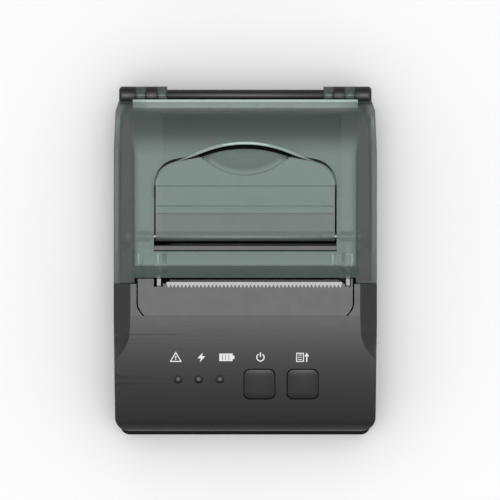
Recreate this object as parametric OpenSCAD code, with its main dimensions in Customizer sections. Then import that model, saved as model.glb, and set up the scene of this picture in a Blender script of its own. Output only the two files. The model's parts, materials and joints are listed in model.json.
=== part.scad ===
/* [Case] */
// Width of the case
case_w = 87; // [85:0.5:90]
// Height of the closed printer above the table
case_h = 47; // [47:0.5:50]
// Thickness of the moulded case walls
case_wall = 1.8; // [1.5:0.1:2]
// Distance from the centre to the front wall
front_reach = 56.3; // [56:0.1:57]
// Distance from the centre to the rear wall
rear_reach = 53.5; // [53.4:0.1:53.6]
// Height of the joint between the bottom shell and the upper shell
split_z = 8; // [8:0.5:8.5]
// Height of the joint between the upper shell and the lid skirt
skirt_z = 31; // [31:0.1:31.4]
// Gap between the lid and the shell round it
lid_gap = 0.35; // [0.3:0.05:0.5]

/* [Shoulders] */
// Height at which the sloping shoulder starts
shoulder_z = 34; // [33:0.5:36]
// Width of the shoulder as seen from above
shoulder_run = 6.3; // [5:0.1:7]
// Radius of the scoop that ends the shoulder near the front
scoop_r = 12; // [10:0.5:14]
// Distance from the centre to the start of the scoop
scoop_y = 24; // [23:0.5:26]

/* [Front panel] */
// Radius of the curved front panel
panel_r = 95.5; // [95:0.5:100]
// Slope of the panel where it leaves the flat bezel, in degrees
panel_slope = 4; // [3.5:0.1:4.5]
// Radius of the rounded front edge
nose_r = 6; // [5:0.5:7]
// Distance from the centre to the crease in front of the bezel
crease_reach = 18.3; // [18:0.1:18.6]
// Drop from the top of the lid to the bezel
bezel_drop = 1.6; // [1.5:0.1:1.8]
// Side of a square push button
button_side = 9.9; // [9.8:0.1:11]
// Gap round a push button
button_gap = 0.4; // [0.4:0.05:0.6]
// Travel of a push button
button_travel = 0.5; // [0.3:0.05:0.5]

/* [Paper and print mechanism] */
// Width of the paper roll that the printer takes
paper_w = 58; // [57:0.5:58]
// Sideways offset of the paper path from the centre
path_x = 3; // [2.8:0.1:3.2]
// Radius of the paper bin
bin_r = 20.8; // [20:0.1:20.8]
// Radius of the rubber platen
platen_r = 4.5; // [4.3:0.1:4.5]
// Number of teeth along the tear bar
tear_teeth = 46; // [40:1:50]
// Module of the gear teeth
gear_module = 0.5; // [0.5:0.05:0.5]
// Teeth of the platen gear
platen_teeth = 20; // [20:1:20]
// Teeth of the large wheel of the idler
idler_teeth = 34; // [34:1:34]
// Teeth of the motor pinion
pinion_teeth = 14; // [14:1:14]

/* [Release lever] */
// Width of the release flap set in the lid
flap_w = 59.2; // [58.8:0.1:59.4]
// Gap round the flap
flap_gap = 0.6; // [0.5:0.1:0.8]
// Thickness of the flap
flap_t = 1.9; // [1.6:0.1:2]

/* [Hidden] */
$fn = 64;
// overlap of solids that are joined, and a length well past the case
eps = 0.01;
far = 80;
half_w = case_w / 2;
front_y = -front_reach;
rear_y = rear_reach;
// angle of a shoulder from upright
lean = atan2(shoulder_run, case_h - shoulder_z);
// hinge of the lid: axis, radii, gap at the ends of a knuckle, and the reach of each ear and of the bar in X
hinge_y = 54.6;
hinge_z = 33;
knuckle_r = 2.9;
hinge_bar_r = 1.85;
hinge_pin_r = 1;
hinge_gap = 0.35;
ear_x = [36.35, 41];
inner_ear_x = [29.2, 32.8];
bar_half = 25.8;
shelf_z = 29.5;
// radial clearance of a turning fit
running = 0.06;
// the lid: wall, front edge, half width of its sloping front, and the cheeks of the case inside it
lid_wall = 1.8;
lid_slope_y = [-5.7, -1.7];
lid_front = -7.4;
lid_nose_x = 36.6;
cheek_x = 36.95;
// the lid's top bends in two arcs: a wide one, then a tighter one down to the rear
crown_y = 33.4;
crown_r = 45;
crown_turn = 8;
rear_r = (rear_y - crown_y - crown_r * sin(crown_turn)) / (1 - sin(crown_turn));
rear_c = [rear_y - rear_r, case_h - crown_r + (crown_r - rear_r) * cos(crown_turn)];
// front panel: height of the bezel, centre of the curve, and the place of buttons and lamps on it
bezel_z = case_h - bezel_drop;
bezel_half = 35.5;
panel_c = [-crease_reach + panel_r * sin(panel_slope), bezel_z - panel_r * cos(panel_slope)];
nose_y = front_y + nose_r;
nose_lean = asin((panel_c[0] - nose_y) / (panel_r - nose_r));
nose_c = [nose_y, panel_c[1] + (panel_r - nose_r) * cos(nose_lean)];
key_y = -40.9;
key_lean = asin((panel_c[0] - key_y) / panel_r);
key_z = panel_c[1] + panel_r * cos(key_lean);
power_x = 4.65;
feed_x = 18.97;
led_x = [-22.2, -15.4, -8.4];
led_v = 1.7;
key_board_top = -8;
switch_h = 3.4;
switch_side = 6;
plunger_r = 1.7;
plunger_top = -4.1;
plunger_foot = -6.5;
lamp_seat_r = 1.45;
light_pipe_r = 0.6;
lamp_seat_depth = 1.3;
icon_y = -32;
// paper path, as [Y, Z] centres and [from, to] in X
platen_c = [-1.6, 38.5];
bin_c = [28.8, 25.2];
bin_wall = 1.4;
bin_x = [path_x - 0.8 - paper_w / 2 - 0.4, path_x - 0.8 + paper_w / 2 + 0.4];
deck_z = 30.6;
deck_t = 1.4;
deck_front = 6.6;
rubber_x = [-25.4, 31.4];
guide_x = [-24.8, 30.8];
rib_left = [-27.5, -25.9];
rib_right = [31.8, 33];
plate_left = [-29.2, -27.9];
plate_right = [33.3, 34.6];
bush_r = 3;
shaft_r = 1.5;
head_y = -6.35;
head_pivot = [-8.8, 32];
spring_x = [-14, 20];
// gear train on the left of the mechanism
mesh_down = 264.4;
mesh_side = 222;
fine_x = [-33.4, -30.6];
coarse_x = [-36.2, -34.4];
idler_c = platen_c + gear_module * platen_teeth * [cos(mesh_down), sin(mesh_down)];
motor_c = idler_c + gear_module * (idler_teeth + pinion_teeth) / 2 * [cos(mesh_side), sin(mesh_side)];
motor_r = 7.5;
axle_r = 1;
// inside the bottom shell
base_half = 41.2;
base_front = -57.5;
base_rear = 52.6;
floor_z = [1, 2.8];
foot_at = [[33, 46], [33, -48]];
case_screw_at = [[37.5, 38], [37.5, -38]];
board_post_at = [[30.5, -50], [30.5, -25]];
frame_post_at = [[-20, 1], [30, 1], [-20, -16], [30, -16]];
board_z = [18, 19.2];
frame_base_z = [10.8, 12];
port_y = [-29.75, -22.25];
port_z = [19.2, 21.9];
port_wall = 0.35;
port_gap = 0.85;
door_half = 27;
door_y = [-54, -19.8];
// release lever: axis, opening in the lid, latch rods and studs, pins, thumb dish, lines and arched edge
lever_y = 8;
lever_z = 45.1;
barrel_r = 1.6;
pocket_half = flap_w / 2 + flap_gap;
pocket_front = 3;
pocket_wall_z = 43;
stud_z = 35;
stud_rod_r = 1.4;
stud_rod_x = [-38.5, 37.2];
stud_x = [-39.3, 38];
stud_length = 6;
pin_in = 25.6;
pin_out = 36;
dish_at = [0, 48.2];
dish_r = 19.9;
flap_lines = [15.5, 18, 24.6];
arch_half = 14.3;
arch_top = 36.9;
arch_r = 40.6;
lip = 1;
pocket_top = 38.3;
pocket_arch_r = 37.84;

// The first two numbers of a point
function xy(p) = [p[0], p[1]];
// A vector of length one
function unit(v) = v / norm(v);
// Points along an arc about c
function arc(c, r, from, to, steps) =
    [for (i = [0 : steps]) let (a = from + (to - from) * i / steps) c + r * [cos(a), sin(a)]];
// An angle brought into the half turn either side of zero
function near(a) = a > 180 ? a - 360 : a < -180 ? a + 360 : a;
// A closed outline whose corners [x, y, radius] are rounded by arcs
function rounded(corners, steps = 8) = [for (i = [0 : len(corners) - 1])
    let (n = len(corners), p = xy(corners[i]), r = corners[i][2],
         a = unit(xy(corners[(i + n - 1) % n]) - p), b = unit(xy(corners[(i + 1) % n]) - p),
         half = acos(a * b) / 2, c = p + unit(a + b) * r / sin(half),
         from = atan2((p + a * r / tan(half) - c)[1], (p + a * r / tan(half) - c)[0]),
         to = atan2((p + b * r / tan(half) - c)[1], (p + b * r / tan(half) - c)[0]))
    each r == 0 ? [p] : arc(c, r, from, from + near(to - from), steps)];
// The same corners on both sides of the middle plane, right side first
function both_sides(right) =
    concat(right, [for (i = [len(right) - 1 : -1 : 0]) [-right[i][0], right[i][1], right[i][2]]]);

// An outline in Y and Z, made solid from x0 to x1
module along_x(x0, x1) translate([x0, 0, 0]) rotate([90, 0, 90]) linear_extrude(x1 - x0) children();
// An outline in X and Z, made solid from y0 to y1
module along_y(y0, y1) translate([0, y1, 0]) rotate([90, 0, 0]) linear_extrude(y1 - y0) children();
// An outline in X and Y, made solid from z0 to z1
module along_z(z0, z1) translate([0, 0, z0]) linear_extrude(z1 - z0) children();
// A box between two opposite corners
module block(a, b) translate(a) cube(b - a);
// A round rod parallel to X, at point c of Y and Z
module rod_x(c, r, x0, x1) translate([x0, c[0], c[1]]) rotate([0, 90, 0]) cylinder(r = r, h = x1 - x0);
// The children, and their mirror image on the left side
module mirrored() { children(); mirror([1, 0, 0]) children(); }
// The children in the tilted plane of the push buttons, +Z out of the panel
module at_keys() translate([0, key_y, key_z]) rotate([key_lean, 0, 0]) children();
// A square with round corners, centred
module round_square(side, r) polygon(rounded([[side / 2, side / 2, r], [-side / 2, side / 2, r],
                                              [-side / 2, -side / 2, r], [side / 2, -side / 2, r]]));

// Outline of the case from above, moved in by d
module case_plan(d) polygon(rounded(both_sides([
    [43 - d + (case_w - 87) / 2, front_y + d, 4.5 - d / 2],
    [half_w - d, -20, 0],
    [half_w - d, 36, 60],
    [half_w - 0.6 - d, 49.5 - d, 4],
    [half_w - 2 - d, rear_y - d, 1.6 - d / 4]])));
// Cross-section through lid and shoulders, moved in by d, down to z0
module case_section(d, z0) polygon(rounded(both_sides([
    [half_w - d, z0, 0],
    [half_w - d, shoulder_z - d * tan(lean / 2), 4],
    [half_w - shoulder_run - d * tan(45 - lean / 2), case_h - d, 1.5]])));
// Side view of the front half, moved in by d, from z0 up, ending at y1
module front_profile(d, z0, y1) polygon(concat(
    [[front_y + d, z0]],
    arc(nose_c, nose_r - d, 180, 90 + nose_lean, 8),
    arc(panel_c, panel_r - d, 90 + nose_lean, 90 + panel_slope, 24),
    [[y1, bezel_z - d], [y1, z0]]));
// The space cut away above a shoulder, with its run-out scoop
module shoulder_cut() mirrored() translate([half_w, 0, shoulder_z]) rotate([0, -lean, 0]) {
    translate([0, -scoop_y, -6]) cube([20, 2 * far, 40]);
    translate([scoop_r, -scoop_y, -6]) cylinder(r = scoop_r, h = 40);
}
// The whole closed lid body, moved in by d, from z0 up
module lid_block(d, z0, y0) intersection() {
    along_z(z0, case_h) case_plan(d);
    along_y(y0, rear_y) case_section(d, z0);
    along_x(-far, far) polygon(concat([[y0, z0], [y0, case_h - d]],
        arc([crown_y, case_h - crown_r], crown_r - d, 90, 90 - crown_turn, 4),
        arc(rear_c, rear_r - d, 90 - crown_turn, 2, 16), [[rear_y - d, z0]]));
}
// A round hinge knuckle from x0 to x1, drilled for its pin
module knuckle(x0, x1, bore) difference() {
    rod_x([hinge_y, hinge_z], knuckle_r, x0, x1);
    rod_x([hinge_y, hinge_z], bore, x0 - 1, x1 + 1);
}

// ---- case ----
// Bottom shell: tray with posts, battery bay, feet seats and a shallow rest for a label
module bottom_shell() color([0.04, 0.04, 0.045]) difference() {
    union() {
        difference() {
            along_z(floor_z[0], split_z) polygon(rounded(both_sides([[base_half, base_front, 3],
                                                                   [base_half, base_rear, 4]])));
            along_z(floor_z[1], split_z + 1) polygon(rounded(both_sides([
                [base_half - case_wall, base_front + case_wall + 0.8, 2],
                [base_half - case_wall, base_rear - case_wall, 3]])));
        }
        along_z(split_z - 2, split_z) difference() {
            case_plan(0.5);
            case_plan(2 * case_wall);
        }
        mirrored() for (p = case_screw_at)
            translate([p[0], p[1], floor_z[0]]) cylinder(r = 3.4, h = split_z - floor_z[0]);
        mirrored() for (p = board_post_at)
            translate([p[0], p[1], floor_z[0]]) cylinder(r = 2.4, h = board_z[0] - floor_z[0]);
        for (p = frame_post_at)
            translate([p[0], p[1], floor_z[0]]) cylinder(r = 2.6, h = frame_base_z[0] - floor_z[0]);
        difference() {
            block([-door_half - 1.8, door_y[0] - 0.9, floor_z[1]], [door_half + 1.8, door_y[1] + 1.5, 7]);
            block([-door_half - 0.3, door_y[0] - 2, 0], [door_half + 0.3, door_y[1] + 0.3, 8]);
        }
    }
    block([-door_half - 0.3, door_y[0] - 0.3, 0], [door_half + 0.3, door_y[1] + 0.3, floor_z[1] + eps]);
    mirrored() for (p = foot_at) translate([p[0], p[1], 0]) cylinder(r = 4.6, h = 1.6);
    mirrored() for (p = case_screw_at) translate([p[0], p[1], 0]) {
        cylinder(r = 2.4, h = 4);
        cylinder(r = 1.35, h = split_z + 1);
    }
    mirrored() for (p = board_post_at) translate([p[0], p[1], board_z[0] - 7]) cylinder(r = 0.9, h = 10);
    for (p = frame_post_at) translate([p[0], p[1], frame_base_z[0] - 6]) cylinder(r = 0.9, h = 10);
    along_z(0, floor_z[0] + 0.25) polygon(rounded([[24, 32, 2], [-24, 32, 2], [-24, 2, 2], [24, 2, 2]]));
}

// Upper shell: four walls, the curved roof of the front half and the hinge at the rear
module upper_shell() color([0.27, 0.27, 0.27]) difference() {
    union() {
        intersection() {
            difference() {
                along_z(split_z, case_h) case_plan(0);
                along_z(split_z - 1, case_h + 1) case_plan(case_wall);
            }
            union() {
                along_x(-far, far) front_profile(0, 0, lid_front - lid_gap);
                block([-far, -far, 0], [far, far, skirt_z - lid_gap]);
            }
        }
        // roof of the front half
        intersection() {
            along_z(split_z, case_h) case_plan(case_wall / 2);
            along_x(-far, far) difference() {
                front_profile(0, 0, lid_front - lid_gap);
                front_profile(case_wall, -1, lid_front + 1);
            }
        }
        // inner face of the sloping shoulders
        intersection() {
            along_z(20, case_h) case_plan(case_wall / 2);
            along_x(-far, far) front_profile(case_wall / 2, 0, lid_front - lid_gap);
            mirrored() translate([half_w, 0, shoulder_z]) rotate([0, -lean, 0])
                translate([-case_wall, -scoop_y - scoop_r, -6])
                    cube([4 * case_wall, scoop_r + scoop_y - 7.8, 22]);
        }
        // cheeks that stand inside the front of the lid
        intersection() {
            difference() {
                along_y(lid_front - 3, 3.5) case_section(lid_wall + 0.4, 20);
                along_y(lid_front - 4, 4.5) case_section(lid_wall + 2, 19);
                block([-cheek_x, -far, 0], [cheek_x, far, far]);
            }
            along_z(0, case_h) case_plan(lid_wall + 0.4);
        }
        // shelf that joins the cheeks to the side walls
        intersection() {
            along_z(24, skirt_z - lid_gap) case_plan(case_wall / 2);
            mirrored() block([half_w - 5.5, lid_front - 3, 24], [half_w, 3.5, 27]);
        }
        // stop noses behind the cheeks
        mirrored() block([cheek_x, 3, stud_z + 1.1], [38.2, 6.1, stud_z + 2.6]);
        // hinge ears, knuckles and cross bar
        mirrored() {
            translate([ear_x[1], hinge_y, hinge_z]) rotate([0, 90, 0])
                cylinder(r1 = knuckle_r, r2 = knuckle_r - 0.7, h = 0.7);
            for (x = [ear_x, inner_ear_x]) {
                knuckle(x[0], x[1], hinge_pin_r);
                along_x(x[0], x[1]) difference() {
                    polygon([[hinge_y - knuckle_r, hinge_z], [hinge_y + knuckle_r, hinge_z],
                             [hinge_y + knuckle_r, shelf_z - 1.5], [rear_y - 1, shelf_z - 5.5],
                             [rear_y - 1, shelf_z + 0.5]]);
                    translate([hinge_y, hinge_z]) circle(r = knuckle_r - 0.5);
                }
            }
        }
        // shelf below the knuckles
        mirrored() along_x(bar_half, ear_x[1]) polygon([[hinge_y + knuckle_r, shelf_z],
            [hinge_y + knuckle_r, shelf_z - 1.5], [rear_y - 1, shelf_z - 5.5], [rear_y - 1, shelf_z]]);
        rod_x([hinge_y, hinge_z], hinge_bar_r, -bar_half, bar_half);
        along_x(-bar_half, bar_half) polygon([[rear_y - 0.9, shelf_z - 1.5], [hinge_y + 1.4, shelf_z + 0.9],
                                              [hinge_y + 1.6, hinge_z - 0.2], [rear_y - 0.7, hinge_z - 0.2]]);
        // screw posts
        mirrored() for (p = case_screw_at) {
            translate([p[0], p[1], split_z]) cylinder(r = 3, h = 14);
            block([p[0], p[1] - 0.8, split_z], [half_w - 1, p[1] + 0.8, split_z + 12]);
        }
    }
    shoulder_cut();
    // opening for the bezel
    along_z(40, case_h + 1) polygon(rounded(both_sides([[33.9, -crease_reach, 0],
        [bezel_half + 0.5, -15.7, 5], [bezel_half + 0.5, 6, 0]])));
    // room for the lid knuckles
    mirrored() {
        rod_x([hinge_y, hinge_z], knuckle_r + hinge_gap, inner_ear_x[1], ear_x[0]);
        rod_x([hinge_y, hinge_z], knuckle_r + hinge_gap, bar_half, inner_ear_x[0]);
    }
    // push buttons and lamps
    at_keys() {
        for (x = [power_x, feed_x]) translate([x, 0, -6])
            linear_extrude(12) round_square(button_side + 2 * button_gap, 2.2);
        for (x = led_x) translate([x, led_v, 0]) {
            translate([0, 0, -lamp_seat_depth]) cylinder(r = lamp_seat_r, h = 3);
            translate([0, 0, -5]) cylinder(r = light_pipe_r + 0.05, h = 6);
        }
    }
    // charging and data socket
    block([half_w - 4, port_y[0] - port_gap, port_z[0] - port_gap],
          [half_w + 1, port_y[1] + port_gap, port_z[1] + port_gap]);
    mirrored() for (p = case_screw_at) translate([p[0], p[1], split_z - 1]) cylinder(r = 1.2, h = 12);
}

// Bezel: the flat plate between roof and lid, which holds the tear bar
module exit_bezel() color([0.4, 0.4, 0.4]) difference() {
    union() {
        along_z(bezel_z - 1.6, bezel_z) polygon(rounded(both_sides([[33.4, -crease_reach + 0.05, 0.3],
            [bezel_half, -15.6, 5], [bezel_half, lid_front + 1.35, 0]])));
        mirrored() block([33.6, -14.8, 42.6], [35.2, -9, bezel_z - 1]);
        block([-26, -12.6, 42.6], [32, -8.6, bezel_z - 1]);
    }
    // paper slot
    block([-30.2, -7.65, 30], [34.9, 0, far]);
    // room for the ends of the mechanism frame
    block([-30.2, -8.7, 30], [-27.2, 0, far]);
    block([32.9, -8.7, 30], [34.9, 0, far]);
}

// Tear bar: folded steel strip with its teeth to the front
module tear_bar() color([0.72, 0.72, 0.72]) {
    pitch = paper_w / tear_teeth;
    x0 = path_x - paper_w / 2;
    tooth_root = -7.9;
    tooth_tip = -9.1;
    along_z(bezel_z, bezel_z + 0.4) polygon(concat([[x0, -7.1], [x0, tooth_root]],
        [for (i = [0 : tear_teeth - 1]) each [[x0 + pitch * (i + 0.5), tooth_tip],
                                              [x0 + pitch * (i + 1), tooth_root]]],
        [[x0 + paper_w, -7.1]]));
    block([x0, -7.6, 42.8], [x0 + paper_w, -7.1, bezel_z + eps]);
}

// Paper bin: round trough for the roll, open at the top
module paper_bin() color([0.2, 0.2, 0.2]) difference() {
    union() {
        rod_x(bin_c, bin_r + bin_wall, bin_x[0] - bin_wall, bin_x[1] + bin_wall);
        block([bin_x[0] - bin_wall, bin_c[0] - bin_r - bin_wall, bin_c[1]],
              [bin_x[1] + bin_wall, bin_c[0] + bin_r + bin_wall, deck_z - deck_t]);
    }
    rod_x(bin_c, bin_r, bin_x[0], bin_x[1]);
    block([bin_x[0], bin_c[0] - bin_r, bin_c[1]], [bin_x[1], bin_c[0] + bin_r, far]);
    block([-far, -far, deck_z - deck_t], [far, far, far]);
}

// The flat deck round the mouth of the bin
module bin_deck() color([0.2, 0.2, 0.2]) along_z(deck_z - deck_t, deck_z) difference() {
    polygon([[41, deck_front], [41, 43], [38.6, 51], [-38.6, 51], [-41, 43], [-41, deck_front]]);
    translate([bin_x[0], bin_c[0] - bin_r]) square([bin_x[1] - bin_x[0], 2 * bin_r]);
}

// Two pins, pressed into the ears, on which the lid turns
module hinge_pins() color([0.2, 0.2, 0.2]) mirrored()
    rod_x([hinge_y, hinge_z], hinge_pin_r, bar_half + 0.8, ear_x[1] - 0.2);

// Four round feet in their seats
module rubber_feet() color([0.08, 0.08, 0.08]) mirrored() for (p = foot_at)
    translate([p[0], p[1], 0]) cylinder(r = 4.5, h = 1.6);

// Four screws from below that hold the two shells together
module case_screws() color([0.6, 0.6, 0.62]) mirrored() for (p = case_screw_at) translate([p[0], p[1], 0]) {
    difference() {
        translate([0, 0, 2.2]) cylinder(r = 2.1, h = 1.8);
        for (a = [0, 90]) rotate([0, 0, a]) translate([-1.2, -0.25, 2]) cube([2.4, 0.5, 1.1]);
    }
    translate([0, 0, 3.5]) cylinder(r = 1.2, h = 14);
}

// ---- power and electronics ----
// Battery in its bay
module battery_pack() color([0.16, 0.3, 0.5])
    along_z(3.2, 16.2) polygon(rounded([[25, -21, 2], [-25, -21, 2], [-25, -52.3, 2], [25, -52.3, 2]]));

// Door of the battery bay, with finger ribs
module battery_door() color([0.05, 0.05, 0.055]) difference() {
    along_z(floor_z[0], floor_z[1]) polygon([[door_half, door_y[1]], [-door_half, door_y[1]],
                                             [-door_half, door_y[0]], [door_half, door_y[0]]]);
    for (i = [-2 : 2]) block([-7, -24.5 + 1.4 * i, 0], [7, -23.9 + 1.4 * i, floor_z[0] + 0.5]);
}

// Main circuit board, with a tongue to the socket at the right wall
module main_board() color([0.05, 0.3, 0.16]) difference() {
    union() {
        block([-33.5, -53, board_z[0]], [34, -21.5, board_z[1]]);
        block([30, -30.5, board_z[0]], [41, -21.5, board_z[1]]);
    }
    mirrored() for (p = board_post_at) translate([p[0], p[1], 0]) cylinder(r = 1.15, h = far);
}

// Parts on the board: [corner, size] from its top face
module board_components() color([0.12, 0.12, 0.13]) for (c = [
    [[-20, -45, 0], [10, 10, 1.4]], [[-2, -47, 0], [13, 17, 2.2]], [[16, -46, 0], [8, 8, 3]],
    [[-9, -26, 0], [28, 3.2, 1.8]], [[-29, -36, 0], [6, 6, 4.5]], [[-18, -31, 0], [5, 4, 1.2]],
    [[26, -40, 0], [5, 7, 2.4]], [[-27, -29, 0], [7, 4, 5]]])
    translate(c[0] + [0, 0, board_z[1]]) cube(c[1]);

// Metal shell of the charging and data socket
module usb_port() color([0.75, 0.75, 0.76]) difference() {
    block([37.2, port_y[0], port_z[0]], [half_w - 0.6, port_y[1], port_z[1]]);
    block([38.4, port_y[0] + port_wall, port_z[0] + port_wall],
          [half_w, port_y[1] - port_wall, port_z[1] - port_wall]);
}

// Small board under the push buttons and lamps
module key_board() color([0.05, 0.3, 0.16]) at_keys()
    translate([-29, -7, key_board_top - 1.2]) cube([56, 15, 1.2]);

// Bodies of the two switches
module tact_switches() color([0.1, 0.1, 0.1]) at_keys() for (x = [power_x, feed_x]) translate([x, 0, 0])
    difference() {
        translate([-switch_side / 2, -switch_side / 2, key_board_top])
            cube([switch_side, switch_side, switch_h]);
        translate([0, 0, plunger_foot - button_travel - 0.2]) cylinder(r = plunger_r + 0.1, h = switch_h);
    }

// Three lamps on the key board
module status_leds() color([0.85, 0.85, 0.8]) at_keys() for (x = led_x)
    translate([x - 0.8, led_v - 0.4, key_board_top]) cube([1.6, 0.8, 0.7]);

// Light pipes from the lamps to the panel
module led_lenses() color([0.7, 0.72, 0.7]) at_keys() for (x = led_x) translate([x, led_v, 0]) {
    translate([0, 0, -7.3]) cylinder(r = light_pipe_r, h = 6.8);
    translate([0, 0, -7.3]) cylinder(r = 1.3, h = 1.2);
}

// A flat ring with an opening of the given half angle at the top
module open_ring(r, t, gap) difference() {
    circle(r = r);
    circle(r = r - t);
    polygon([[0, 0], 2 * r * [sin(-gap), cos(gap)], 2 * r * [sin(gap), cos(gap)]]);
}
// Triangle with an upright mark: a fault
module fault_sign() difference() {
    polygon([[-2, -1.5], [2, -1.5], [0, 1.9]]);
    difference() {
        polygon([[-1.45, -1.18], [1.45, -1.18], [0, 1.25]]);
        polygon([[-0.24, 0.45], [0.24, 0.45], [0.14, -0.4], [-0.14, -0.4]]);
        translate([-0.18, -0.95]) square([0.36, 0.36]);
    }
}
// Zigzag bolt: charging
module charge_sign()
    polygon([[0.5, 1.6], [-1.3, -0.3], [-0.15, -0.3], [-0.55, -1.6], [1.3, 0.35], [0.15, 0.35]]);
// Battery with four cells
module battery_sign() {
    difference() {
        translate([-2.4, -1.25]) square([4.4, 2.5]);
        for (i = [0 : 2]) translate([-1.45 + i * 1.05, -0.95]) square([0.18, 1.9]);
    }
    translate([2, -0.55]) square([0.6, 1.1]);
}
// Broken ring and bar: power
module power_sign() {
    open_ring(1.4, 0.38, 32);
    translate([-0.19, 0.1]) square([0.38, 1.6]);
}
// Sheet with an arrow: paper feed
module feed_sign() {
    difference() {
        translate([-2.2, -1.5]) square([2.6, 3]);
        translate([-1.9, -1.2]) square([2, 2.4]);
    }
    for (i = [0 : 2]) translate([-1.6, -0.85 + i * 0.75]) square([1.4, 0.22]);
    polygon([[1.1, -1.5], [1.5, -1.5], [1.5, 0.3], [2.1, 0.3], [1.3, 1.5], [0.5, 0.3], [1.1, 0.3]]);
}

// The signs printed on the panel
module panel_icons() color([0.93, 0.93, 0.93]) intersection() {
    along_z(36, case_h) {
        translate([-23, icon_y]) fault_sign();
        translate([-14.5, icon_y]) charge_sign();
        translate([-6.2, icon_y]) battery_sign();
        translate([5, icon_y]) power_sign();
        translate([19, icon_y]) feed_sign();
    }
    difference() {
        rod_x(panel_c, panel_r + 0.12, -30, 30, $fn = 400);
        rod_x(panel_c, panel_r, -31, 31, $fn = 400);
    }
}

// ---- print mechanism ----
// One side of the frame, from x[0] to x[1]
module side_plate(x) difference() {
    along_x(x[0], x[1]) polygon([[-19.6, frame_base_z[0]], [5.2, frame_base_z[0]], [5.2, 40], [2.2, 41.5],
        [-6.05, 42.6], [-6.1, 44.6], [-8.3, 44.6], [-8.3, 42.2], [-14.4, 42], [-19.6, 30]]);
    // seat of the platen bushing, open upwards
    rod_x(platen_c, bush_r + 0.3, x[0] - 1, x[1] + 1);
    block([x[0] - 1, platen_c[0] - bush_r - 0.3, platen_c[1]], [x[1] + 1, 2.4, far]);
    rod_x(head_pivot, 1 + running, x[0] - 1, x[1] + 1);
}
// Frame of the print mechanism: two sides, a base and a cross bar behind the head
module mechanism_frame() color([0.5, 0.5, 0.52]) difference() {
    union() {
        side_plate(plate_left);
        side_plate(plate_right);
        block([plate_left[0], -19.6, frame_base_z[0]], [plate_right[1], 5.2, frame_base_z[1]]);
        block([plate_left[1] - eps, -14.4, 30], [plate_right[0] + eps, -13.2, 42]);
    }
    rod_x(motor_c, 2.6, plate_left[0] - 1, plate_left[1] + 1);
    rod_x(idler_c, axle_r, plate_left[0] - 1, plate_left[1] + 1);
    for (p = frame_post_at) translate([p[0], p[1], 0]) cylinder(r = 1.15, h = 20);
    block([-10, -12, 0], [26, -3, 20]);
}

// A coil spring standing on the origin: wire rings joined along a helix
module coil(r, wire, turns, height) {
    sides = 6;
    steps = turns * 12;
    rise = (height - 2 * wire) / steps;
    centre = [for (i = [0 : steps]) [r * cos(30 * i), r * sin(30 * i), wire + rise * i]];
    ring = [for (i = [0 : steps]) for (k = [0 : sides - 1]) let (a = 30 * i, b = 360 * k / sides)
        centre[i] + wire * [cos(a) * cos(b), sin(a) * cos(b), sin(b)]];
    side = [for (i = [0 : steps - 1]) for (k = [0 : sides - 1]) let (n = (k + 1) % sides)
        [i * sides + k, (i + 1) * sides + k, (i + 1) * sides + n, i * sides + n]];
    polyhedron(ring, concat([[for (k = [0 : sides - 1]) k]], side,
                            [[for (k = [sides - 1 : -1 : 0]) steps * sides + k]]));
}
// Springs that press the head to the platen
module head_springs() color([0.7, 0.7, 0.72]) for (x = spring_x)
    translate([x, -10.1, 37]) rotate([90, 0, 0]) coil(1.7, 0.25, 3, 3.1);

// Ceramic heater bar
module print_head() color([0.78, 0.76, 0.7]) {
    block([-25, head_y - 1, 31], [31, head_y, 42]);
}

// Finned plate that carries the heater bar and swings on its own two pins
module head_heat_sink() color([0.62, 0.63, 0.65]) difference() {
    union() {
        block([-26, -10.2, 31], [32, head_y - 1, 42]);
        rod_x(head_pivot, 1, plate_left[0] + 0.2, plate_right[1] - 0.2);
    }
    for (x = spring_x) translate([x, -9.4, 37]) rotate([90, 0, 0]) cylinder(r = 2.4, h = 3);
    for (i = [0 : 5]) block([-9 + i * 4, -11, 30], [-7 + i * 4, -9, 43]);
}

// Stepper motor with its flange
module motor_body() color([0.7, 0.7, 0.72]) difference() {
    union() {
        rod_x(motor_c, motor_r, plate_left[1], -13.8);
        rod_x(motor_c, 2.5, plate_left[0], plate_left[1] + eps);
        block([plate_left[1], motor_c[0] - 9.5, motor_c[1] - 3],
              [plate_left[1] + 0.8, motor_c[0] + 9.5, motor_c[1] + 3]);
    }
    rod_x(motor_c, axle_r + 0.05, -40, -14.6);
}

// Shaft of the motor
module motor_shaft() color([0.8, 0.8, 0.82]) rod_x(motor_c, axle_r, coarse_x[0] - 0.3, -15);

// Angle between an involute's start and the point where its pressure angle is a
function involute(a) = tan(a) * 180 / PI - a;
// A spur gear with 20 degree stub teeth, one tooth centred on the first axis
module gear_outline(teeth) {
    pitch_r = gear_module * teeth / 2;
    base_r = pitch_r * cos(20);
    root_r = pitch_r - 1.05 * gear_module;
    tip_r = pitch_r + 0.8 * gear_module;
    play = 0.03 / pitch_r * 180 / PI;
    half = 90 / teeth - play + involute(20);
    low_r = max(base_r, root_r);
    side = [for (i = [0 : 4]) let (r = low_r + (tip_r - low_r) * i / 4)
        [r, half - involute(acos(base_r / r))]];
    polygon([for (k = [0 : teeth - 1]) let (mid = 360 * k / teeth) each concat(
        [root_r * [cos(mid - half), sin(mid - half)]],
        [for (p = side) p[0] * [cos(mid - p[1]), sin(mid - p[1])]],
        [for (i = [4 : -1 : 0]) side[i][0] * [cos(mid + side[i][1]), sin(mid + side[i][1])]],
        [root_r * [cos(mid + half), sin(mid + half)]])]);
}
// A gear about point c of Y and Z, turned so that a tooth points at the given angle
module gear(teeth, c, x, angle) along_x(x[0], x[1]) translate(c) rotate(angle) gear_outline(teeth);

// Pinion pressed on the motor's shaft
module motor_pinion() color([0.85, 0.8, 0.6]) difference() {
    gear(pinion_teeth, motor_c, coarse_x, mesh_side - 180 + 180 / pinion_teeth);
    rod_x(motor_c, axle_r, -40, -30);
}

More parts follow.
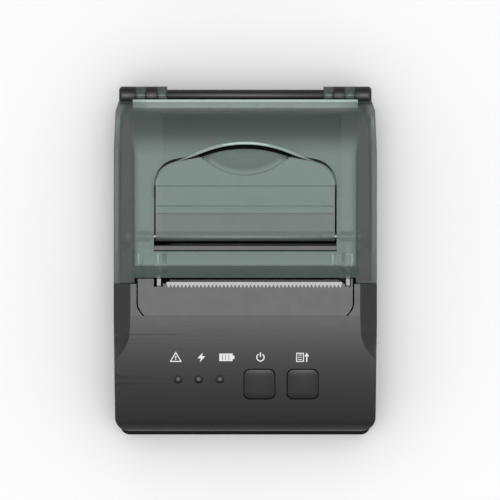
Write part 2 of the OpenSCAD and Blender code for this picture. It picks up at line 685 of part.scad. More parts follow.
// Fixed axle with a head, on which the idler turns
module idler_axle() color([0.8, 0.8, 0.82]) {
    rod_x(idler_c, axle_r, coarse_x[0] - 0.6, plate_left[1]);
    rod_x(idler_c, 1.7, coarse_x[0] - 1, coarse_x[0] - 0.3);
}

// Idler: the large wheel meets the pinion, the small one meets the platen gear
module idler_gear() color([0.9, 0.9, 0.88]) difference() {
    union() {
        gear(idler_teeth, idler_c, coarse_x, mesh_side);
        gear(platen_teeth, idler_c, fine_x, mesh_down - 180 + 180 / platen_teeth);
        rod_x(idler_c, 3.2, coarse_x[0], fine_x[1] + 0.9);
    }
    rod_x(idler_c, axle_r + running, -40, -20);
}

// Ramp that leads the paper from the bin to the head
module paper_guide() color([0.1, 0.1, 0.1]) {
    along_x(guide_x[0], guide_x[1])
        polygon([[5.6, 31.1], [5.6, 32.1], [-1, 33.3], [-5.4, 33.3], [-5.4, 32.3], [-1, 32.3]]);
    for (x = [guide_x[0], guide_x[1] - 1.5]) block([x, 3.4, frame_base_z[1]], [x + 1.5, 4.9, 31.9]);
}

// Sensor that sees whether there is paper
module paper_sensor() color([0.05, 0.05, 0.06]) block([8, -0.2, 28.6], [12, 2.8, 31.3]);

// Flat cable from the head to the board
module head_flex() color([0.75, 0.45, 0.15]) along_x(-8, 18) polygon(rounded([
    [-8.6, 30.6, 0], [-8.9, 30.6, 0], [-8.9, 20.35, 1], [-22.7, 20.35, 0], [-22.7, 20.05, 0],
    [-8.6, 20.05, 1.3]]));

// Screws that hold the frame
module mechanism_screws() color([0.6, 0.6, 0.62]) for (p = frame_post_at) translate([p[0], p[1], 0]) {
    translate([0, 0, frame_base_z[1]]) cylinder(r = 2, h = 1);
    translate([0, 0, frame_base_z[0] - 5]) cylinder(r = 0.9, h = 6.5);
}

// Screws that hold the main board
module board_screws() color([0.6, 0.6, 0.62]) mirrored() for (p = board_post_at) translate([p[0], p[1], 0]) {
    translate([0, 0, board_z[1]]) cylinder(r = 1.9, h = 1.2);
    translate([0, 0, board_z[0] - 6]) cylinder(r = 0.9, h = 7.5);
}

// ---- lid ----
// The pocket that the flap lies in, from above, grown by d
module pocket_plan(d) {
    polygon(rounded(both_sides([[pocket_half + d, pocket_front - d, 0], [pocket_half + d, 32.2 + d, 8.5 + d],
                                [15, 35.2 + d, 0]])));
    intersection() {
        translate([0, pocket_top - pocket_arch_r]) circle(r = pocket_arch_r + d);
        translate([-15 - d, 30]) square([30 + 2 * d, 20]);
    }
}
// The flap from above
module flap_plan() {
    polygon(rounded(both_sides([[flap_w / 2, lever_y, 0], [flap_w / 2, 31.5, 8], [arch_half, 34.2, 0]])));
    intersection() {
        translate([0, arch_top - arch_r]) circle(r = arch_r);
        translate([-arch_half, 30]) square([2 * arch_half, 10]);
    }
}
// The shallow dish for the thumb
module thumb_dish() translate([dish_at[0], dish_at[1], case_h + 98]) sphere(r = 100, $fn = 200);

// Lid: see-through shell with the flap's opening, the platen's ribs and the hinge knuckles
module lid_cover() color([0.42, 0.5, 0.48, 0.6]) difference() {
    union() {
        difference() {
            lid_block(0, skirt_z, lid_front);
            lid_block(lid_wall, skirt_z - 1, lid_front - 1);
        }
        // sloping front edge
        along_x(-lid_nose_x, lid_nose_x) polygon([[lid_slope_y[0], 43.9], [-1.3, case_h - lid_wall - eps],
                                                  [-1.3, case_h - 1], [lid_slope_y[0], case_h - 1]]);
        // pocket of the flap
        intersection() {
            lid_block(1, skirt_z, lid_front);
            along_z(pocket_wall_z, case_h) pocket_plan(1.2);
        }
        // ribs that carry the platen
        for (x = [rib_left, rib_right]) {
            block([x[0], -4, platen_c[1]], [x[1], 5.1, case_h - 1]);
            rod_x(platen_c, bush_r + 1.2, x[0], x[1]);
        }
        // bosses of the flap's shaft
        mirrored() rod_x([lever_y, lever_z], 1.8, pocket_half + 1, 36.4);
        // knuckles
        mirrored() {
            knuckle(inner_ear_x[1] + hinge_gap, ear_x[0] - hinge_gap, hinge_pin_r + running);
            knuckle(bar_half + hinge_gap, inner_ear_x[0] - hinge_gap, hinge_pin_r + running);
        }
    }
    // opening of the flap, less the two rests under its corners
    difference() {
        along_z(40, case_h + 1) pocket_plan(0);
        mirrored() block([flap_w / 2 - 1.2, 25, pocket_wall_z],
                         [pocket_half + 1, 29, case_h - flap_t - 0.35]);
    }
    // open front and its slope
    block([-lid_nose_x, lid_front - 1, skirt_z - 1], [lid_nose_x, lid_slope_y[0], far]);
    along_x(-lid_nose_x, lid_nose_x) polygon([[lid_slope_y[0] - 0.1, 45.3], [lid_slope_y[0], 45.3],
        [lid_slope_y[1], case_h], [lid_slope_y[1], far], [lid_slope_y[0] - 0.1, far]]);
    // room for the ears, knuckles and bar of the shell
    mirrored() for (x = [[inner_ear_x[0] - hinge_gap, inner_ear_x[1] + hinge_gap],
                         [ear_x[0] - hinge_gap, half_w]]) {
        rod_x([hinge_y, hinge_z], knuckle_r + hinge_gap, x[0], x[1]);
        block([x[0], 50.9, skirt_z - 1], [x[1], rear_y + 1, hinge_z]);
    }
    rod_x([hinge_y, hinge_z], hinge_bar_r + 0.45, -bar_half - hinge_gap, bar_half + hinge_gap);
    block([-bar_half - hinge_gap, 50.9, skirt_z - 1], [bar_half + hinge_gap, rear_y + 1, hinge_z]);
    mirrored() rod_x([hinge_y, hinge_z], hinge_pin_r + running, 26, 36.2);
    rod_x(platen_c, bush_r, rib_left[0] - 1, rib_right[1] + 1);
    mirrored() rod_x([lever_y, lever_z], axle_r, pocket_half, pin_out);
}

// The bar that leads the paper over the platen, held between the side walls of the flap's opening
module lid_guide() color([0.25, 0.25, 0.25]) along_x(-pocket_half, pocket_half)
    polygon(rounded([[3.1, 43.3, 0.3], [5.1, 43.3, 0.3], [5.1, 44.9, 0.4], [3.1, 44.9, 0.4]]));

// Bushings of the platen, in the lid's ribs
module platen_bushings() color([0.8, 0.75, 0.6]) difference() {
    union() {
        rod_x(platen_c, bush_r, plate_left[0] - 0.2, rib_left[1]);
        rod_x(platen_c, bush_r, rib_right[0], plate_right[1] + 0.2);
    }
    rod_x(platen_c, shaft_r + running, -40, 40);
}

// Rubber of the platen
module platen_rubber() color([0.1, 0.1, 0.1]) difference() {
    rod_x(platen_c, platen_r, rubber_x[0], rubber_x[1]);
    rod_x(platen_c, shaft_r, -40, 40);
}

// Shaft of the platen
module platen_shaft() color([0.8, 0.8, 0.82]) rod_x(platen_c, shaft_r, fine_x[0] - 0.3, plate_right[1] + 0.7);

// Gear pressed on the platen's shaft
module platen_gear() color([0.9, 0.9, 0.88]) difference() {
    union() {
        gear(platen_teeth, platen_c, fine_x, mesh_down);
        rod_x(platen_c, 2.6, fine_x[0], fine_x[1] + 0.8);
    }
    rod_x(platen_c, shaft_r, -40, -20);
}

// Release flap: plate, barrel, two arms and the rods that carry the latch studs
module release_lever() color([0.5, 0.56, 0.54, 0.7]) difference() {
    union() {
        along_z(case_h - flap_t, case_h) flap_plan();
        rod_x([lever_y, lever_z], barrel_r, -flap_w / 2, flap_w / 2);
        mirrored() along_x(flap_w / 2 - 1.5, flap_w / 2) polygon([[lever_y - 1.2, lever_z],
            [lever_y - 1.5, stud_z - 0.6], [lever_y, stud_z - 1.9], [lever_y + 1.5, stud_z - 0.6],
            [lever_y + 1.2, lever_z]]);
        rod_x([lever_y, stud_z], stud_rod_r, stud_rod_x[0], -flap_w / 2 + 1);
        rod_x([lever_y, stud_z], stud_rod_r, flap_w / 2 - 1, stud_rod_x[1]);
    }
    thumb_dish();
    // sloping lip along the arched edge
    intersection() {
        block([-arch_half, 30, case_h - lip], [arch_half, 40, case_h + 1]);
        translate([0, arch_top - arch_r, case_h - lip]) difference() {
            cylinder(r = arch_r + 5, h = 2 * lip);
            cylinder(r1 = arch_r, r2 = arch_r - 2 * lip, h = 2 * lip);
        }
    }
    // thin line round the dish, and three across the flap
    along_z(case_h - 0.2, case_h + 1) {
        difference() {
            translate(dish_at) circle(r = dish_r + 0.15);
            translate(dish_at) circle(r = dish_r - 0.15);
        }
        for (y = flap_lines) translate([-far, y - 0.15]) square([2 * far, 0.3]);
    }
    mirrored() rod_x([lever_y, lever_z], axle_r + running, pin_in - 0.3, far);
    rod_x([lever_y, stud_z], axle_r, stud_x[0] - 1, stud_x[0] + stud_length);
    rod_x([lever_y, stud_z], axle_r, stud_x[1] - stud_length, stud_x[1] + 1);
}

// Steel ends of the latch rods
module latch_studs() color([0.85, 0.85, 0.87]) {
    rod_x([lever_y, stud_z], axle_r, stud_x[0], stud_x[0] + stud_length);
    rod_x([lever_y, stud_z], axle_r, stud_x[1] - stud_length, stud_x[1]);
}

// Pins in the lid on which the flap turns
module lever_pins() color([0.8, 0.8, 0.82]) mirrored() rod_x([lever_y, lever_z], axle_r, pin_in, pin_out);

// ---- keys ----
// A push button: crowned cap, flange that stops it under the panel, and stem
module push_button(x) at_keys() translate([x, 0, 0]) {
    intersection() {
        translate([0, 0, -2.4]) linear_extrude(4) round_square(button_side, 1.9);
        translate([-10, 0, -panel_r]) rotate([0, 90, 0]) cylinder(r = panel_r, h = 20, $fn = 400);
    }
    translate([0, 0, -3.3]) linear_extrude(1) round_square(button_side + 2.6, 2.6);
    translate([0, 0, plunger_top]) cylinder(r = 2.2, h = 1);
}
// The power button, on the left
module power_button() color([0.25, 0.25, 0.25]) push_button(power_x);
// The paper feed button, on the right
module feed_button() color([0.25, 0.25, 0.25]) push_button(feed_x);

// The part of a switch that goes down with its button
module plunger(x) at_keys()
    translate([x, 0, plunger_foot]) cylinder(r = plunger_r, h = plunger_top - plunger_foot);
// Plunger under the power button
module power_plunger() color([0.15, 0.15, 0.15]) plunger(power_x);
// Plunger under the feed button
module feed_plunger() color([0.15, 0.15, 0.15]) plunger(feed_x);

bottom_shell();
upper_shell();
exit_bezel();
tear_bar();
paper_bin();
bin_deck();
hinge_pins();
rubber_feet();
case_screws();
battery_pack();
battery_door();
main_board();
board_components();
usb_port();
key_board();
tact_switches();
status_leds();
led_lenses();
panel_icons();
mechanism_frame();
head_springs();
print_head();
head_heat_sink();
motor_body();
motor_shaft();
motor_pinion();
idler_axle();
idler_gear();
paper_guide();
paper_sensor();
head_flex();
mechanism_screws();
board_screws();
lid_cover();
lid_guide();
platen_bushings();
platen_rubber();
platen_shaft();
platen_gear();
release_lever();
latch_studs();
lever_pins();
power_button();
feed_button();
power_plunger();
feed_plunger();
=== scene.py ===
import json
import math

import bmesh
import bpy
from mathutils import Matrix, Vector


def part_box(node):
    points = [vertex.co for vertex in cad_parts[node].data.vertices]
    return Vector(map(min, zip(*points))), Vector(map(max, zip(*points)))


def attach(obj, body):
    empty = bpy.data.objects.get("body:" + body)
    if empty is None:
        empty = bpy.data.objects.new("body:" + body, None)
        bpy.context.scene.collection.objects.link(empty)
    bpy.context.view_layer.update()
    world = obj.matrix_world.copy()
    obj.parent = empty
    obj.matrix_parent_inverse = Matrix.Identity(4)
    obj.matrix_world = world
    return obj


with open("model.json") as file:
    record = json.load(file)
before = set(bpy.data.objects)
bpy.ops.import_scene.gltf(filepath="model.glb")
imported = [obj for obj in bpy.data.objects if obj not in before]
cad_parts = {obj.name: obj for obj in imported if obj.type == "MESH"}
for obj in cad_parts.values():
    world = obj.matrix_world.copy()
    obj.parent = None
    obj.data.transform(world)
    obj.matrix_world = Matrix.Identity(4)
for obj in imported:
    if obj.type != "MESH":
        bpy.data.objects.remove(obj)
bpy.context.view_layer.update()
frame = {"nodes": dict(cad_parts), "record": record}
scene = bpy.context.scene
nodes = frame["nodes"]
MM = 0.001

# ---------------------------------------------------------------- camera
VIEW_WIDTH = 0.16525
VIEW_CENTRE = (0.00155, 0.00347)
CAMERA_HEIGHT = 0.6

camera_data = bpy.data.cameras.new("camera")
camera_data.type = "ORTHO"
camera_data.ortho_scale = VIEW_WIDTH
camera_data.clip_start = 0.01
camera_data.clip_end = 10
camera = bpy.data.objects.new("camera", camera_data)
camera.location = (*VIEW_CENTRE, CAMERA_HEIGHT)
scene.collection.objects.link(camera)
scene.camera = camera
scene.view_settings.view_transform = "Standard"

# ---------------------------------------------------------------- materials
WHITE = (1, 1, 1)
SMOKE_GREEN = (0.80, 1.0, 0.93)
SMOKE_SHINE = (0.80, 1.0, 0.94, 1)
FLAP_FRONT_PAINTED_SHINE = (0.72, 0.77, 0.76, 1)
# painted reflection: the flap's shine is greyer in front of this line, where its first painted shade line
# lies; in mm
FLAP_FRONT_Y = 15.5


def colour(level, tint=WHITE):
    """A grey of the given brightness, with a tint."""
    return (level * tint[0], level * tint[1], level * tint[2], 1)


class Look:
    """A Principled material whose nodes read object coordinates in metres."""

    def __init__(self, name, base, rough, metal=0.0, alpha=1.0, ior=1.5):
        self.material = bpy.data.materials.new(name)
        self.material.use_nodes = True
        self.tree = self.material.node_tree
        self.shader = self.tree.nodes["Principled BSDF"]
        self.set("Base Color", base)
        self.set("Roughness", rough)
        self.set("Metallic", metal)
        self.set("Alpha", alpha)
        self.set("IOR", ior)
        self.place = self.node("ShaderNodeTexCoord").outputs["Object"]
        self.height = None

    def node(self, kind, **settings):
        """A new node with the given settings."""
        made = self.tree.nodes.new(kind)
        for key, value in settings.items():
            setattr(made, key, value)
        return made

    def set(self, socket, value):
        """A constant value on one of the shader's own sockets."""
        self.shader.inputs[socket].default_value = value

    def link(self, source, target):
        """A link from an output to an input."""
        self.tree.links.new(source, target)

    def axis(self, source, letter):
        """One axis, "X", "Y" or "Z", of a vector."""
        parts = self.node("ShaderNodeSeparateXYZ")
        self.link(source, parts.inputs["Vector"])
        return parts.outputs[letter]

    def noise(self, scale, detail=2.0, stretch=None):
        """Noise between 0 and 1 whose features are about 1/scale metres."""
        source = self.place
        if stretch:
            mapping = self.node("ShaderNodeMapping")
            mapping.inputs["Scale"].default_value = stretch
            self.link(self.place, mapping.inputs["Vector"])
            source = mapping.outputs["Vector"]
        made = self.node("ShaderNodeTexNoise")
        made.inputs["Scale"].default_value = scale
        made.inputs["Detail"].default_value = detail
        self.link(source, made.inputs["Vector"])
        return made.outputs["Fac"]

    def ranged(self, source, low, high, start=0.3, end=0.7):
        """source from start to end, brought to low to high."""
        made = self.node("ShaderNodeMapRange")
        made.inputs["From Min"].default_value = start
        made.inputs["From Max"].default_value = end
        made.inputs["To Min"].default_value = low
        made.inputs["To Max"].default_value = high
        self.link(source, made.inputs["Value"])
        return made.outputs["Result"]

    def vary_colour(self, low, high, source):
        """Base colour from low to high as source goes from 0.3 to 0.7."""
        ramp = self.node("ShaderNodeValToRGB")
        for element, place, value in zip(ramp.color_ramp.elements, (0.3, 0.7), (low, high)):
            element.position = place
            element.color = value
        self.link(source, ramp.inputs["Fac"])
        self.link(ramp.outputs["Color"], self.shader.inputs["Base Color"])

    def vary_roughness(self, low, high, source):
        """Roughness from low to high as source goes from 0.3 to 0.7."""
        self.link(self.ranged(source, low, high), self.shader.inputs["Roughness"])

    def bump(self, source, strength, distance):
        """Relief of the given distance in metres, added to any there is already."""
        made = self.node("ShaderNodeBump")
        made.inputs["Strength"].default_value = strength
        made.inputs["Distance"].default_value = distance
        self.link(source, made.inputs["Height"])
        if self.height:
            self.link(self.height, made.inputs["Normal"])
        self.height = made.outputs["Normal"]
        self.link(self.height, self.shader.inputs["Normal"])

    def shade_side_shine(self, side, top, start=0.2, end=0.85):
        """Painted shade on steep faces: shine from side to top as a face turns upward, its normal's Z
        going from start to end.
        """
        normal = self.node("ShaderNodeTexCoord").outputs["Normal"]
        level = self.ranged(self.axis(normal, "Z"), side, top, start, end)
        self.link(level, self.shader.inputs["Specular IOR Level"])

    def tint_shine(self, front, rear, y, blend=0.2):
        """Painted reflection: shine of one colour in front of y and another behind it, blended over 2 *
        blend, in mm.
        """
        mixed = self.node("ShaderNodeMix", data_type="RGBA")
        mixed.inputs["A"].default_value = front
        mixed.inputs["B"].default_value = rear
        place = self.ranged(self.axis(self.place, "Y"), 0, 1, (y - blend) * MM, (y + blend) * MM)
        self.link(place, mixed.inputs["Factor"])
        self.link(mixed.outputs["Result"], self.shader.inputs["Specular Tint"])


def moulded(name, level, rough, tint=WHITE, grain=5200, relief=0.000006, ior=1.5):
    """Moulded plastic or rubber with a fine spark-eroded texture."""
    look = Look(name, colour(level, tint), rough, ior=ior)
    look.vary_colour(colour(level * 0.93, tint), colour(level * 1.07, tint), look.noise(60, detail=3))
    look.vary_roughness(rough - 0.01, rough + 0.015, look.noise(300))
    look.bump(look.noise(grain), strength=0.5, distance=relief)
    return look


def metal(name, level, rough, tint=WHITE, stretch=(1, 30, 30)):
    """Metal with drawn or ground lines along X."""
    look = Look(name, colour(level, tint), rough, metal=1.0)
    patches = look.noise(400, detail=3, stretch=stretch)
    look.vary_colour(colour(level * 0.9, tint), colour(level * 1.05, tint), patches)
    look.vary_roughness(rough - 0.06, rough + 0.08, look.noise(900, detail=3, stretch=stretch))
    look.bump(look.noise(2400, stretch=stretch), strength=0.25, distance=0.000006)
    return look


def smoky(name, alpha, level=0.15, rough=0.27):
    """Glossy smoky green see-through plastic."""
    look = Look(name, colour(level, SMOKE_GREEN), rough, alpha=alpha, ior=1.64)
    look.set("Specular Tint", SMOKE_SHINE)
    look.vary_colour(colour(level * 0.95, SMOKE_GREEN), colour(level * 1.05, SMOKE_GREEN), look.noise(35))
    look.vary_roughness(rough - 0.005, rough + 0.01, look.noise(150))
    look.bump(look.noise(60, detail=1), strength=0.05, distance=0.00003)
    return look


def fade(name, stops):
    """A strip's painted light and shade: its brightness follows (y, brightness) stops, y in mm."""
    low, high = stops[0][0], stops[-1][0]
    look = Look(name, colour(stops[0][1]), rough=0.35)
    ramp = look.node("ShaderNodeValToRGB")
    elements = ramp.color_ramp.elements
    for _ in stops[1:-1]:
        elements.new(0.5)
    for element, (y, level) in zip(elements, stops):
        element.position = (y - low) / (high - low)
        element.color = colour(level, SMOKE_GREEN)
    look.link(look.ranged(look.axis(look.place, "Y"), 0, 1, low * MM, high * MM), ramp.inputs["Fac"])
    mixed = look.node("ShaderNodeMix", data_type="RGBA", blend_type="MULTIPLY")
    mixed.inputs["Factor"].default_value = 1
    look.link(ramp.outputs["Color"], mixed.inputs["A"])
    look.link(look.ranged(look.noise(300), 0.88, 1.0), mixed.inputs["B"])
    look.link(mixed.outputs["Result"], look.shader.inputs["Base Color"])
    look.bump(look.noise(900), strength=0.2, distance=0.00002)
    return look


looks = {
    "case_plastic": moulded("case_plastic", 0.013, 0.36),
    "bezel_plastic": moulded("bezel_plastic", 0.02, 0.36, relief=0.0000012),
    "key_plastic": moulded("key_plastic", 0.011, 0.38),
    "black_plastic": moulded("black_plastic", 0.006, 0.6, ior=1.25),
    "bin_plastic": moulded("bin_plastic", 0.02, 0.5),
    "smoke_plastic": smoky("smoke_plastic", alpha=0.36),
    "smoke_plastic_flap": smoky("smoke_plastic_flap", alpha=0.4),
    "tear_steel": metal("tear_steel", 0.23, 0.46),
    "pin_steel": metal("pin_steel", 0.22, 0.32),
    "frame_steel": metal("frame_steel", 0.22, 0.5),
    "screw_steel": metal("screw_steel", 0.4, 0.35, stretch=(1, 1, 1)),
    "spring_steel": metal("spring_steel", 0.5, 0.28, stretch=(1, 1, 1)),
    "bright_metal": metal("bright_metal", 0.5, 0.25),
    "head_aluminium": metal("head_aluminium", 0.4, 0.38),
    "pinion_brass": metal("pinion_brass", 0.25, 0.35, tint=(1, 0.78, 0.42)),
    "hinge_steel": metal("hinge_steel", 0.05, 0.35),
    "foot_rubber": moulded("foot_rubber", 0.015, 0.75, grain=3800, relief=0.00002),
    "platen_rubber": moulded("platen_rubber", 0.02, 0.5, grain=2600, relief=0.000003),
    "battery_wrap": moulded("battery_wrap", 0.2, 0.3, tint=(0.12, 0.35, 1)),
    "circuit_board": moulded("circuit_board", 0.08, 0.35, tint=(0.15, 1, 0.4)),
    "component_black": moulded("component_black", 0.015, 0.45),
    "led_body": moulded("led_body", 0.6, 0.3),
    "lens_clear": moulded("lens_clear", 0.12, 0.25),
    "icon_print": moulded("icon_print", 0.8, 0.5),
    "head_ceramic": moulded("head_ceramic", 0.02, 0.3, ior=1.3),
    "flex_film": moulded("flex_film", 0.3, 0.25, tint=(1, 0.45, 0.1)),
    "gear_plastic": moulded("gear_plastic", 0.06, 0.4),
    "bush_plastic": moulded("bush_plastic", 0.12, 0.4, tint=(1, 0.97, 0.9)),
}

# painted shade: the steep sides of the case and of the lid shine less than their tops
looks["case_plastic"].shade_side_shine(0.1, 0.5, start=0.45, end=0.9)
looks["smoke_plastic"].shade_side_shine(0.04, 0.5)
# painted reflection: the flap's front part shines greyer than the rest of it
looks["smoke_plastic_flap"].tint_shine(FLAP_FRONT_PAINTED_SHINE, SMOKE_SHINE, FLAP_FRONT_Y)
slot_of = {s["node"]: s["material_slot"] for s in frame["record"]["subparts"]}

# ---------------------------------------------------------------- rounded edges
SHARP_ANGLE = math.radians(32)
WELD_DISTANCE = 1e-6
# width of the small round on a node's sharp edges, in metres
EDGE_ROUND = {
    "upper_shell": 0.0003,
    "bottom_shell": 0.0004,
    "exit_bezel": 0.0002,
    "lid_cover": 0.0003,
    "release_lever": 0.00012,
    "power_button": 0.00035,
    "feed_button": 0.00035,
    "paper_bin": 0.0003,
    "bin_deck": 0.0002,
    "lid_guide": 0.0002,
    "battery_door": 0.0003,
    "battery_pack": 0.0004,
    "mechanism_frame": 0.0001,
    "paper_guide": 0.0001,
    "head_heat_sink": 0.00015,
    "motor_body": 0.0002,
    "rubber_feet": 0.0005,
    "tact_switches": 0.0001,
    "board_components": 0.0001,
}


def round_sharp_edges(obj, width):
    """A small round on every edge sharper than SHARP_ANGLE."""
    weld = obj.modifiers.new("weld", "WELD")
    weld.merge_threshold = WELD_DISTANCE
    bevel = obj.modifiers.new("round_edges", "BEVEL")
    bevel.width = width
    bevel.segments = 2
    bevel.limit_method = "ANGLE"
    bevel.angle_limit = SHARP_ANGLE


for name, obj in nodes.items():
    obj.data.materials.clear()
    obj.data.materials.append(looks[slot_of[name]].material)
    if name in EDGE_ROUND:
        round_sharp_edges(obj, EDGE_ROUND[name])


# ---------------------------------------------------------------- light and shade strips
# Paths and sections are in mm. A path's point is (x, y, z, how wide the section is there).
def bar(width, height, cut=None):
    """Section of a bar that stands on its path, its upper corners cut by (sideways, down)."""
    side = width / 2
    right = [(side, 0), (side, height)]
    if cut:
        right = [(side, 0), (side, height - cut[1]), (side - cut[0], height)]
    return right + [(-across, up) for across, up in reversed(right)]


def sweep(name, path, section):
    """A closed solid whose section (across, up) follows a path."""
    bm = bmesh.new()
    rings = []
    for i, (x, y, z, scale) in enumerate(path):
        before = path[max(i - 1, 0)]
        after = path[min(i + 1, len(path) - 1)]
        along = Vector((after[0] - before[0], after[1] - before[1], 0)).normalized()
        side = Vector((-along.y, along.x, 0))
        centre = Vector((x, y, z))
        points = [centre + side * across * scale + Vector((0, 0, up)) for across, up in section]
        rings.append([bm.verts.new(point * MM) for point in points])
    count = len(section)
    for ring, following in zip(rings, rings[1:]):
        for k in range(count):
            n = (k + 1) % count
            bm.faces.new((ring[k], ring[n], following[n], following[k]))
    bm.faces.new(rings[0][::-1])
    bm.faces.new(rings[-1])
    bmesh.ops.recalc_face_normals(bm, faces=bm.faces)
    mesh = bpy.data.meshes.new(name)
    bm.to_mesh(mesh)
    bm.free()
    return mesh


def piece(name, path, section, look, body):
    """A strip with its material, riding on a body."""
    mesh = sweep(name, path, section)
    obj = bpy.data.objects.new(name, mesh)
    scene.collection.objects.link(obj)
    mesh.materials.append(look.material)
    for polygon in mesh.polygons:
        polygon.use_smooth = True
    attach(obj, body)


def arc_points(centre, radius, start, end, steps):
    """Points (x, y) along an arc, with angles in degrees."""
    points = []
    for i in range(steps + 1):
        angle = math.radians(start + (end - start) * i / steps)
        points.append((centre[0] + radius * math.cos(angle), centre[1] + radius * math.sin(angle)))
    return points


lid_low, lid_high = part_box("lid_cover")
LID_TOP = lid_high[2] / MM
LID_UNDERSIDE = lid_low[2] / MM
LID_HALF_WIDTH = lid_high[0] / MM
# the flap's opening: a wide arch at the rear, then a round corner at each side
ARCH_CENTRE = (0.0, 0.46)
ARCH_RADIUS = 37.84
CORNER_CENTRE = (21.7, 23.7)
CORNER_RADIUS = 8.5


def paint_opening_highlight():
    """The painted highlight along the wall of the flap's opening: a light strip standing in for the light
    its rim catches.
    """
    corner_radius = CORNER_RADIUS + 0.3
    half = [(x, y, 1.0) for x, y in arc_points(ARCH_CENTRE, ARCH_RADIUS + 0.5, 90, 67, 14)]
    half += [(x, y, 0.5) for x, y in arc_points(CORNER_CENTRE, corner_radius, 78, 0, 12)]
    half += [(CORNER_CENTRE[0] + corner_radius, 21.0, 0.4)]
    z = LID_TOP - 0.5
    path = [(-x, y, z, width) for x, y, width in half[:0:-1]]
    path += [(x, y, z, width) for x, y, width in half]
    crown = [(0.5, 0), (0.38, 0.16), (0.15, 0.26), (-0.15, 0.26), (-0.38, 0.16), (-0.5, 0)]
    underside = [(-0.38, -0.16), (0.38, -0.16)]
    look = fade("rim_painted_highlight", [(20, 0.1), (33, 0.16), (36, 0.55), (41, 0.6)])
    piece("opening_rim_highlight", path, crown + underside, look, "lid")


def make_gap_shade():
    """The shade below the gap over the flap's arched edge."""
    look = fade("gap_shade", [(30, 0.004), (41, 0.003)])
    look.set("IOR", 1.08)
    z = LID_TOP - 3.0
    path = [(x, y, z, 1.0) for x, y in arc_points(ARCH_CENTRE, ARCH_RADIUS - 0.75, 114, 66, 28)]
    piece("gap_shade", path, bar(1.7, 0.25), look, "lid")


def paint_flap_shade_lines():
    """Painted shade lines: dark strips under the flap, across it and round its thumb dish."""
    look = fade("flap_line_painted_shade", [(8, 0.012), (40, 0.02)])
    line = bar(0.32, 0.3)
    half_width = 29.2
    for number, y in enumerate((FLAP_FRONT_Y, 18.0, 24.6), 1):
        path = [(x, y, LID_TOP - 0.7, 1.0) for x in (-half_width, -10, 10, half_width)]
        piece(f"flap_shade_line_{number}", path, line, look, "lever")
    dish_centre = (0.0, 48.2)
    dish_radius = 19.9
    path = [(x, y, LID_TOP - 0.75, 1.2) for x, y in arc_points(dish_centre, dish_radius, 224.5, 315.5, 40)]
    piece("dish_shade_line", path, line, look, "lever")


def paint_platen_rib_glints():
    """Painted highlights on the ends of the ribs that hold the platen in the lid."""
    look = fade("rib_end_light", [(-2, 0.2), (-0.5, 0.7), (1.5, 0.9), (3, 0.25)])
    section = bar(0.6, 0.45, cut=(0.15, 0.15))
    outer, inner = 35.3, 28.9
    for number, x in enumerate((-outer, -inner, outer, inner), 1):
        path = [(x, y, LID_TOP - 2.9, 1.0) for y in (-1.6, -0.5, 1.2, 2.4)]
        piece(f"rib_end_{number}", path, section, look, "lid")


def paint_flap_front_highlight():
    """A painted highlight under the flap's front edge: a bright strip."""
    look = fade("flap_front_painted_highlight", [(7, 0.3), (9, 0.4)])
    half_width = 29.0
    path = [(x, 7.75, LID_TOP - 1.0, 1.0) for x in (-half_width, -10, 10, half_width)]
    piece("flap_front_highlight", path, bar(0.9, 0.3, cut=(0.2, 0.1)), look, "lever")


def paint_lid_edge_highlights():
    """Painted light along the lid's thick lower edge at each side: a strip whose brightness stands in for
    the light that edge catches.
    """
    look = fade("lid_edge_painted_light", [(-8, 0.1), (2, 0.12), (5, 0.2), (30, 0.24),
                               (39, 0.1), (43, 0.3), (46, 0.62), (50, 0.2)])
    section = bar(1.5, 0.4, cut=(0.15, 0.1))
    z = LID_UNDERSIDE + 0.15
    half = LID_HALF_WIDTH - 0.95
    for side, name in ((1, "lid_edge_highlight_right"), (-1, "lid_edge_highlight_left")):
        path = [(side * half, y, z, 1.0) for y in (-7.2, 0, 10, 20, 30, 36)]
        path += [(side * (half - 0.3), 43, z, 1.0), (side * (half - 0.55), 48, z, 0.9)]
        piece(name, path, section, look, "lid")


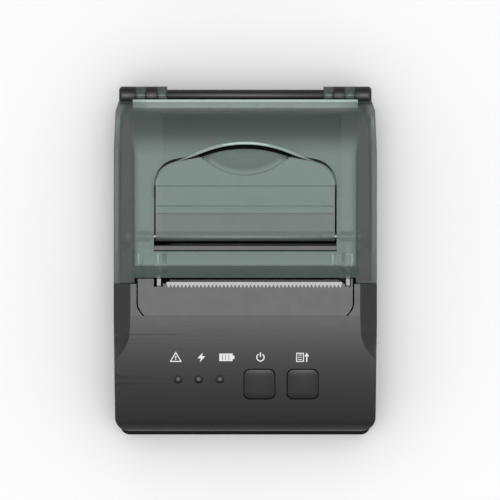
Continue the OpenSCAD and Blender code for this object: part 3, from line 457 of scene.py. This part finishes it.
def paint_lid_rear_highlight():
    """A painted highlight across the lid near its rear edge: a bright strip."""
    look = fade("lid_rear_painted_light", [(48.4, 0.05), (49.5, 0.16), (50.8, 0.5), (53.2, 0.62)])
    half_width = 37.2
    path = [(half_width * i / 6, 50.8, 36.1, 1.0) for i in range(-6, 7)]
    piece("lid_rear_highlight", path, bar(4.8, 0.4, cut=(0.1, 0.1)), look, "lid")


paint_opening_highlight()
make_gap_shade()
paint_flap_shade_lines()
paint_platen_rib_glints()
paint_flap_front_highlight()
paint_lid_edge_highlights()
paint_lid_rear_highlight()

# ---------------------------------------------------------------- room
FLOOR_SIZE = 3.0
# brightness of the room by angle from straight up: (degrees, brightness)
ROOM = [(0, 9.6), (5, 8.2), (10, 5.2), (15, 3.0), (20, 1.8),
        (27, 1.3), (35, 0.85), (45, 0.5), (60, 0.28), (90, 0.2)]


def make_floor():
    """A plain pale floor."""
    look = Look("floor_paint", colour(0.95), rough=0.9)
    look.vary_colour(colour(0.94), colour(0.96), look.noise(4))
    bpy.ops.mesh.primitive_plane_add(size=FLOOR_SIZE, location=(0, 0, 0))
    floor = bpy.context.object
    floor.name = "floor"
    floor.data.materials.append(look.material)


def make_room():
    """A soft light that is brightest straight above and falls off to the sides."""
    world = bpy.data.worlds.new("room")
    scene.world = world
    world.use_nodes = True
    tree = world.node_tree
    place = tree.nodes.new("ShaderNodeTexCoord")
    parts = tree.nodes.new("ShaderNodeSeparateXYZ")
    ramp = tree.nodes.new("ShaderNodeValToRGB")
    brightest = max(level for _, level in ROOM)
    stops = ramp.color_ramp.elements
    for angle, _ in ROOM[1:-1]:
        stops.new(math.cos(math.radians(angle)))
    for stop, (angle, level) in zip(stops, reversed(ROOM)):
        stop.position = math.cos(math.radians(angle))
        stop.color = colour(level / brightest)
    tree.links.new(place.outputs["Generated"], parts.inputs["Vector"])
    tree.links.new(parts.outputs["Z"], ramp.inputs["Fac"])
    tree.links.new(ramp.outputs["Color"], tree.nodes["Background"].inputs["Color"])
    tree.nodes["Background"].inputs["Strength"].default_value = brightest


make_floor()
make_room()
